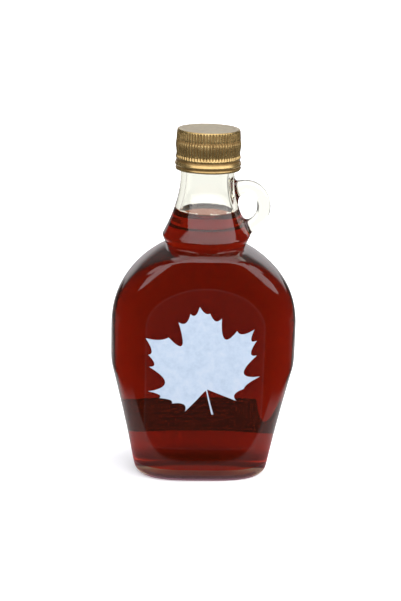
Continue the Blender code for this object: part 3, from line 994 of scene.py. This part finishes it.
def prism(name, x, z):
    """An upright plate of that outline, standing across the front face."""
    n = len(x)
    points = [(a, y, b) for y in (-26.0, -12.0) for a, b in zip(x, z)]
    faces = [tuple(range(n)), tuple(range(2 * n - 1, n - 1, -1))]
    faces += [(i, n + i, n + (i + 1) % n, (i + 1) % n) for i in range(n)]
    obj = mesh_object(name, points, faces, smooth=False)
    outward(obj)
    return obj


def stem_outline():
    """A slender stalk that widens towards its foot and leans the other way."""
    t = np.linspace(0, 1, 12)
    x = LEAF_AT[0] - 0.25 + 3.3 * t**1.15
    z = LEAF_AT[1] + 0.9 - 13.7 * t
    half = 0.27 + 0.2 * t
    return np.concatenate([x - half, (x + half)[::-1]]), np.concatenate([z, z[::-1]])


def make_print():
    rows, cols = ((150, 130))
    z, x = np.meshgrid(np.linspace(33.0, 93.0, rows), np.linspace(-31.0, 29.5, cols), indexing="ij")
    for name, outline in (("leaf_print", leaf_outline()), ("stem_print", stem_outline())):
        leaf = shell(name, x, z, -1, 0.10, 0.15) if name == "leaf_print" else shell(name, x[:, :], z, -1, 0.095, 0.145)
        cut = prism("cut_shape", *outline)
        boolean(leaf, cut, "INTERSECT")
        applied(leaf)
        bpy.data.objects.remove(cut, do_unlink=True)
        leaf.data.materials.clear()
        leaf.data.materials.append(MATS["print"])
        leaf.data.shade_smooth()
        leaf.data.set_sharp_from_angle(angle=math.radians(40))
        finish_piece(leaf, None)


def make_back_label():
    x0, x1, z0, z1 = BACK_LABEL
    z, x = np.meshgrid(np.linspace(z0, z1, 30), np.linspace(x0, x1, 90), indexing="ij")
    label = shell("back_strip", x, z, 1, 0.03, 0.13)
    label.data.materials.append(MATS["back"])
    finish_piece(label, "back_label")


# ---- studio -----------------------------------------------------------------------------
CAMERA = dict(f=1472.0, away=682.0, height=284.0, yaw=2.78, pitch=16.17, roll=1.565, side=3.74)


def make_camera():
    yaw, pitch, roll = (math.radians(CAMERA[k]) for k in ("yaw", "pitch", "roll"))
    ahead = Vector((math.sin(yaw), math.cos(yaw), 0.0))
    right = Vector((math.cos(yaw), -math.sin(yaw), 0.0))
    up = Vector((0, 0, 1))
    look = ahead * math.cos(pitch) - up * math.sin(pitch)
    top = ahead * math.sin(pitch) + up * math.cos(pitch)
    c, s = math.cos(roll), math.sin(roll)
    x, y = right * c + top * s, top * c - right * s
    place = Vector((-CAMERA["away"] * math.sin(yaw), -CAMERA["away"] * math.cos(yaw), CAMERA["height"])) * MM
    data = bpy.data.cameras.new("camera")
    data.sensor_fit = "VERTICAL"
    data.sensor_height = 36.0
    data.lens = CAMERA["f"] / 601 * 36.0
    data.shift_x = -CAMERA["side"] / 601
    data.clip_start = 0.01
    camera = bpy.data.objects.new("camera", data)
    camera.matrix_world = Matrix(
        ((x.x, y.x, -look.x, place.x), (x.y, y.y, -look.y, place.y), (x.z, y.z, -look.z, place.z), (0, 0, 0, 1))
    )
    bpy.context.scene.collection.objects.link(camera)
    bpy.context.scene.camera = camera


class Maths:
    """Short names for the number nodes of a tree."""

    def __init__(self, tree):
        self.tree = tree

    def op(self, operation, *values, clamp=False):
        node = self.tree.nodes.new("ShaderNodeMath")
        node.operation = operation
        node.use_clamp = clamp
        for socket, value in zip(node.inputs, values):
            if isinstance(value, (int, float)):
                socket.default_value = value
            else:
                self.tree.links.new(value, socket)
        return node.outputs[0]

    def step(self, value, at, soft):
        """0 below at - soft, 1 above at + soft."""
        node = self.tree.nodes.new("ShaderNodeMapRange")
        node.interpolation_type = "SMOOTHSTEP"
        node.inputs["From Min"].default_value = at - soft
        node.inputs["From Max"].default_value = at + soft
        self.tree.links.new(value, node.inputs["Value"])
        return node.outputs["Result"]

    def between(self, value, low, high, soft):
        return self.op("MULTIPLY", self.step(value, low, soft), self.op("SUBTRACT", 1.0, self.step(value, high, soft)))

    def mix(self, share, a, b):
        return self.op("ADD", self.op("MULTIPLY", self.op("SUBTRACT", 1.0, share), a), self.op("MULTIPLY", share, b))


WINDOW, WINDOW_SIDE, CEILING, DARK, BACKDROP, REAR = 2.6, 2.2, 0.35, 0.03, 1.15, 1.05
HORIZON, WALLS, INSIDE, OVERHEAD = 0.72, 0.13, 0.16, 1.7


def make_world():
    world = bpy.data.worlds.new("studio")
    bpy.context.scene.world = world
    world.use_nodes = True
    tree = world.node_tree
    m = Maths(tree)
    out = tree.nodes["World Output"]
    background = tree.nodes["Background"]
    where = tree.nodes.new("ShaderNodeTexCoord")
    split = tree.nodes.new("ShaderNodeSeparateXYZ")
    tree.links.new(where.outputs["Generated"], split.inputs["Vector"])
    x, y, z = split.outputs
    # azimuth from the front (-Y) towards the right (+X), and height above the horizon, in degrees
    turn = m.op("MULTIPLY", m.op("ARCTAN2", x, m.op("MULTIPLY", y, -1.0)), 180 / math.pi)
    rise = m.op("MULTIPLY", m.op("ARCSINE", z), 180 / math.pi)
    # the big window narrows a little towards its head
    narrower = m.op("MINIMUM", m.op("MAXIMUM", m.op("SUBTRACT", rise, 20.0), 0.0), 14.0)
    off_middle = m.op("ADD", m.op("ABSOLUTE", m.op("SUBTRACT", turn, 12.0)), narrower)
    front = m.op("MULTIPLY", m.op("SUBTRACT", 1.0, m.step(off_middle, 82.0, 2.0)), m.between(rise, 4.0, 56.0, 1.5))
    side = m.op("MULTIPLY", m.between(turn, -108.0, 112.0, 3.0), m.between(rise, 28.5, 44.0, 1.5))
    path = tree.nodes.new("ShaderNodeLightPath")
    inside = m.op("GREATER_THAN", path.outputs["Transmission Depth"], 0.5)
    aside = m.op("ABSOLUTE", turn)
    # the bright backdrop low behind the flask, which reaches higher on the right, and the dim wall above it
    right = m.step(turn, 0.0, 5.0)
    behind = m.step(m.op("ADD", aside, m.op("MULTIPLY", right, 8.0)), 150.0, 8.0)
    above = m.step(m.op("SUBTRACT", rise, m.op("MULTIPLY", right, 5.0)), 8.5, 4.0)
    walls = m.op("MULTIPLY", behind, m.mix(above, HORIZON + WALLS, WALLS))
    rear = m.op("MULTIPLY", inside, m.step(aside, 100.0, 8.0))
    ceiling = m.step(rise, 66.0, 6.0)
    # a long panel overhead, which runs from the window to behind the flask
    tall = m.op("MAXIMUM", z, 0.05)
    aslant, back = m.op("DIVIDE", x, tall), m.op("DIVIDE", y, tall)
    panel = m.op("MULTIPLY", m.between(aslant, -0.42, 0.45, 0.06), m.between(back, -0.9, 1.45, 0.2))
    light = m.op("ADD", DARK, walls)
    light = m.op("MAXIMUM", light, m.op("MULTIPLY", panel, OVERHEAD))
    light = m.op("MAXIMUM", light, m.op("MULTIPLY", ceiling, CEILING))
    light = m.op("MAXIMUM", light, m.op("MULTIPLY", side, WINDOW_SIDE))
    light = m.op("MAXIMUM", light, m.op("MULTIPLY", front, WINDOW))
    light = m.op("MAXIMUM", light, m.op("MULTIPLY", rear, REAR))
    light = m.op("MAXIMUM", light, m.op("MULTIPLY", inside, INSIDE))
    # a straight look, or one through clear glass alone, meets the white backdrop
    mirrored = m.op("GREATER_THAN", m.op("ADD", path.outputs["Glossy Depth"], path.outputs["Diffuse Depth"]), 0.5)
    tree.links.new(m.mix(mirrored, BACKDROP, light), background.inputs["Strength"])
    tone = ramp(tree, mirrored, [(0.0, (1.0, 1.0, 1.0)), (1.0, (1.0, 0.975, 1.0))])
    tree.links.new(tone.outputs["Color"], background.inputs["Color"])
    tree.links.new(background.outputs["Background"], out.inputs["Surface"])


SHEET, SHEET_FRONT, SHEET_SIDE, SHADE = 0.5, -41.0, 105.0, 0.09


def make_floor():
    size = 3.0
    mesh = bpy.data.meshes.new("floor")
    mesh.from_pydata([(-size, -size, 0), (size, -size, 0), (size, size, 0), (-size, size, 0)], [], [(0, 1, 2, 3)])
    floor = bpy.data.objects.new("floor", mesh)
    bpy.context.scene.collection.objects.link(floor)
    mat, tree, shader, out = material("paper_floor")
    m = Maths(tree)
    put(shader, colour=(0.86, 0.87, 0.89), rough=0.9, shine=0.0)
    where = tree.nodes.new("ShaderNodeTexCoord")
    split = tree.nodes.new("ShaderNodeSeparateXYZ")
    tree.links.new(where.outputs["Object"], split.inputs["Vector"])
    x, y, z = split.outputs
    path = tree.nodes.new("ShaderNodeLightPath")
    # what a polished surface sees: a white sheet that ends just in front of the flask
    across = m.between(x, -SHEET_SIDE * MM, SHEET_SIDE * MM, 0.012)
    wider = m.op("MULTIPLY", m.between(x, -0.17, 0.17, 0.035), m.step(y, 0.12, 0.05))
    sheet = m.op("MULTIPLY", m.step(y, SHEET_FRONT * MM, 0.003), m.op("MAXIMUM", across, wider))
    level = m.mix(m.step(y, 0.03, 0.04), SHEET, 0.7)
    seen = m.op("ADD", m.op("MULTIPLY", sheet, level), DARK)
    # beside the sheet the paper lies in dim light
    dim = m.op("MULTIPLY", m.step(y, 0.07, 0.03), m.op("SUBTRACT", 1.0, m.step(m.op("ABSOLUTE", x), 0.34, 0.06)))
    seen = m.op("MAXIMUM", seen, m.op("MULTIPLY", dim, 0.13))
    # farther back the lit paper narrows into the backdrop
    cone = m.op("SUBTRACT", 1.0, m.step(m.op("SUBTRACT", m.op("ABSOLUTE", x), m.op("MULTIPLY", y, 0.36)), 0.06, 0.07))
    seen = m.op("MAXIMUM", seen, m.op("MULTIPLY", m.op("MULTIPLY", cone, m.step(y, 0.30, 0.08)), m.mix(m.step(y, 0.65, 0.3), 0.28, 0.7)))
    inside = m.op("GREATER_THAN", path.outputs["Transmission Depth"], 0.5)
    seen = m.op("MAXIMUM", seen, m.op("MULTIPLY", inside, INSIDE))
    seen = m.mix(m.op("MULTIPLY", inside, m.step(y, 0.03, 0.01)), seen, REAR)
    mirrored = m.op("GREATER_THAN", m.op("ADD", path.outputs["Glossy Depth"], path.outputs["Diffuse Depth"]), 0.5)
    straight = tree.nodes.new("ShaderNodeEmission")
    straight.inputs["Color"].default_value = (1, 1, 1, 1)
    # seen through the glass, the paper under the flask lies in its shade
    away = m.op("ADD", m.op("POWER", m.op("MULTIPLY", x, 1 / 0.038), 2.0), m.op("POWER", m.op("MULTIPLY", y, 1 / 0.030), 2.0))
    lit = m.mix(m.step(away, 2.2, 1.4), SHADE, BACKDROP)
    # light that the edges of neck and handle bend far aside comes from beyond the paper
    wide = m.op("ABSOLUTE", x)
    distance = m.op("SQRT", m.op("ADD", m.op("MULTIPLY", x, x), m.op("MULTIPLY", y, y)))
    beyond = m.op("MULTIPLY", m.step(distance, 0.38, 0.03), m.op("SUBTRACT", 1.0, m.step(m.op("SUBTRACT", y, m.op("MULTIPLY", wide, 1.8)), 0.0, 0.10)))
    lit = m.mix(m.op("MULTIPLY", m.op("GREATER_THAN", path.outputs["Transmission Depth"], 0.5), beyond), lit, 0.2)
    # the painted shade under the flask is tinted red, as light through the syrup would tint it
    syrup_tinted_shade = ramp(tree, m.step(away, 2.2, 1.4), [(0.0, (1.0, 0.42, 0.46)), (1.0, (1.0, 1.0, 1.0))])
    tree.links.new(syrup_tinted_shade.outputs["Color"], straight.inputs["Color"])
    tree.links.new(m.mix(mirrored, lit, seen), straight.inputs["Strength"])
    # what the camera sees: pale paper that carries a faint soft shadow
    lift = tree.nodes.new("ShaderNodeEmission")
    far = m.op("ADD", m.op("POWER", m.op("MULTIPLY", m.op("ADD", x, 0.022), 1 / 0.036), 2.0), m.op("POWER", m.op("MULTIPLY", m.op("ADD", y, -0.004), 1 / 0.022), 2.0))
    tree.links.new(m.mix(m.step(far, 1.2, 1.1), 0.18, 0.62), lift.inputs["Strength"])
    add = tree.nodes.new("ShaderNodeAddShader")
    tree.links.new(shader.outputs["BSDF"], add.inputs[0])
    tree.links.new(lift.outputs["Emission"], add.inputs[1])
    mix = tree.nodes.new("ShaderNodeMixShader")
    tree.links.new(path.outputs["Is Camera Ray"], mix.inputs["Fac"])
    tree.links.new(straight.outputs["Emission"], mix.inputs[1])
    tree.links.new(add.outputs["Shader"], mix.inputs[2])
    tree.links.new(mix.outputs["Shader"], out.inputs["Surface"])
    mesh.materials.append(mat)


MATS = {
    "glass": glass_material(), "wetted": wetted_material(), "stippled": stippled_material(), "syrup": syrup_material(), "syrup_top": syrup_top_material(),
    "syrup_rim_painted_reflection": syrup_rim_material(), "groove": groove_shade_material(),
    "cap": cap_material(), "disc": disc_material(), "print": print_material(), "film": film_material(),
    "film_edge": film_edge_material(), "back": back_label_material(), "froth": bubble_material(),
}

make_camera()
make_world()
make_floor()
make_glass()
make_syrup()
make_froth()
make_cap()
make_film()
make_print()
make_back_label()

scene = bpy.context.scene
scene.view_settings.view_transform = "Standard"
scene.view_settings.look = "None"
scene.cycles.max_bounces = 28
scene.cycles.transmission_bounces = 28
scene.cycles.glossy_bounces = 12
scene.cycles.diffuse_bounces = 4
scene.cycles.transparent_max_bounces = 24
scene.cycles.caustics_refractive = True
scene.cycles.caustics_reflective = False
scene.cycles.blur_glossy = 0.0

bpy.context.view_layer.update()
